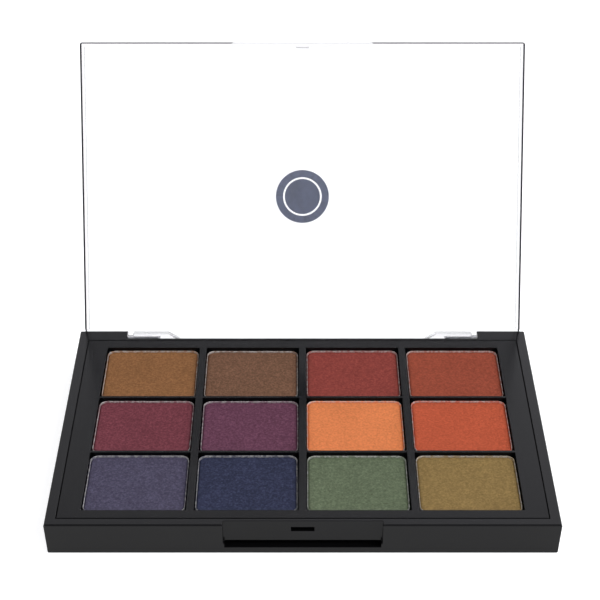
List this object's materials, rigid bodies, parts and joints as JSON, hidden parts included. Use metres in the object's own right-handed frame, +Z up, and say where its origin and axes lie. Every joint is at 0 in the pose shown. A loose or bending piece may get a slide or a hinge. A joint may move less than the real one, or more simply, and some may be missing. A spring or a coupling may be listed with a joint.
{
  "type": "eyeshadow palette",
  "caption": "Flat makeup palette: black moulded tray and pan frame, pressed powders in metal pans, and a clear lid hinged at the back with a front snap tab.",
  "frame": {"origin": "centre of the tray's underside, on the plane that it rests on", "axes": "+Z up out of the tray, +X along its width to the right, +Y from the front latch to the hinge at the back"},
  "size_m": [0.15, 0.1441, 0.1017],
  "materials": {
    "black_plastic": "satin black moulded plastic, sharp soft reflections",
    "black_plastic_insert": "satin black moulded plastic, slightly duller than the tray",
    "clear_plastic": "water-clear polished plastic",
    "emblem_ink": "opaque grey-blue printed ink",
    "pan_tin": "thin pressed metal, bare edge",
    "pin_steel": "plain drawn steel wire",
    "glue": "hidden hot-melt pad",
    "label_paper": "blank coated paper label",
    "shade_r1c1": "pressed matte powder, ochre brown",
    "shade_r1c2": "pressed matte powder, umber brown",
    "shade_r1c3": "pressed matte powder, brick red",
    "shade_r1c4": "pressed matte powder, rust red",
    "shade_r2c1": "pressed matte powder, burgundy",
    "shade_r2c2": "pressed matte powder, aubergine",
    "shade_r2c3": "pressed matte powder, apricot orange",
    "shade_r2c4": "pressed matte powder, burnt orange",
    "shade_r3c1": "pressed matte powder, slate violet",
    "shade_r3c2": "pressed matte powder, navy blue",
    "shade_r3c3": "pressed matte powder, moss green",
    "shade_r3c4": "pressed matte powder, khaki gold"
  },
  "bodies": {
    "base": {"base_tray": "black_plastic", "pan_frame": "black_plastic_insert", "pan_adhesive": "glue", "base_label": "label_paper", "left_hinge_pin": "pin_steel", "right_hinge_pin": "pin_steel", "pan_r1c1": "pan_tin", "pan_r1c2": "pan_tin", "pan_r1c3": "pan_tin", "pan_r1c4": "pan_tin", "pan_r2c1": "pan_tin", "pan_r2c2": "pan_tin", "pan_r2c3": "pan_tin", "pan_r2c4": "pan_tin", "pan_r3c1": "pan_tin", "pan_r3c2": "pan_tin", "pan_r3c3": "pan_tin", "pan_r3c4": "pan_tin", "powder_r1c1": "shade_r1c1", "powder_r1c2": "shade_r1c2", "powder_r1c3": "shade_r1c3", "powder_r1c4": "shade_r1c4", "powder_r2c1": "shade_r2c1", "powder_r2c2": "shade_r2c2", "powder_r2c3": "shade_r2c3", "powder_r2c4": "shade_r2c4", "powder_r3c1": "shade_r3c1", "powder_r3c2": "shade_r3c2", "powder_r3c3": "shade_r3c3", "powder_r3c4": "shade_r3c4"},
    "lid": {"lid": "clear_plastic", "lid_emblem": "emblem_ink"}
  },
  "joints": [
    {"name": "lid_hinge", "type": "hinge", "parent": "base", "child": "lid", "pos_m": [0, 0.04845, 0.009], "axis": [1, 0, 0], "range_deg": [0, 114]}
  ]
}
